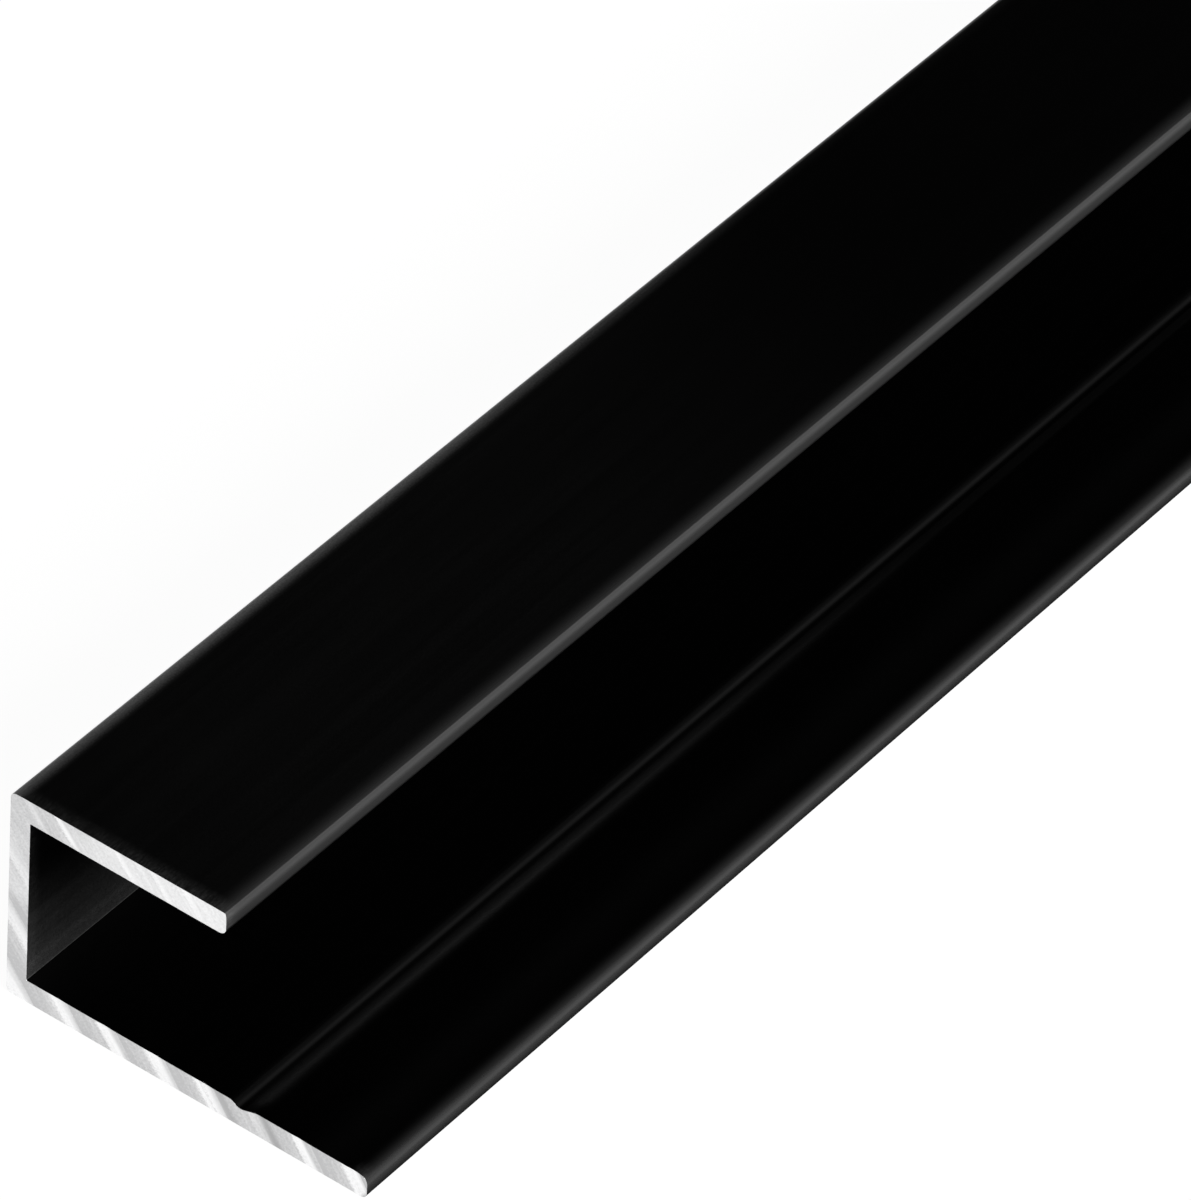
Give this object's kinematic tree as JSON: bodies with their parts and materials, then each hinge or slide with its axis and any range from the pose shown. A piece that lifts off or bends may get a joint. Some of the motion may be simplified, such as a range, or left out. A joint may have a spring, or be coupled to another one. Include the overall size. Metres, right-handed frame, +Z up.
{
  "type": "unequal leg channel section",
  "caption": "Black anodised aluminium channel, one leg longer than the other, with a shallow drill guide groove along the long leg outside its slot.",
  "frame": {"origin": "middle of the underside of the long leg, halfway along the length", "axes": "+Y along the length; +Z up, away from the face the long leg lies on; +X from the web towards the open side, where the legs point"},
  "size_m": [0.0236, 1, 0.0139],
  "materials": {
    "black_anodised_skin": "black anodised, satin, with fine drawn lines along the length",
    "sawn_bare_end": "bare metal as the saw left it, with slanting tooth marks"
  },
  "bodies": {
    "root": {"channel_profile": "black_anodised_skin"}
  },
  "joints": []
}
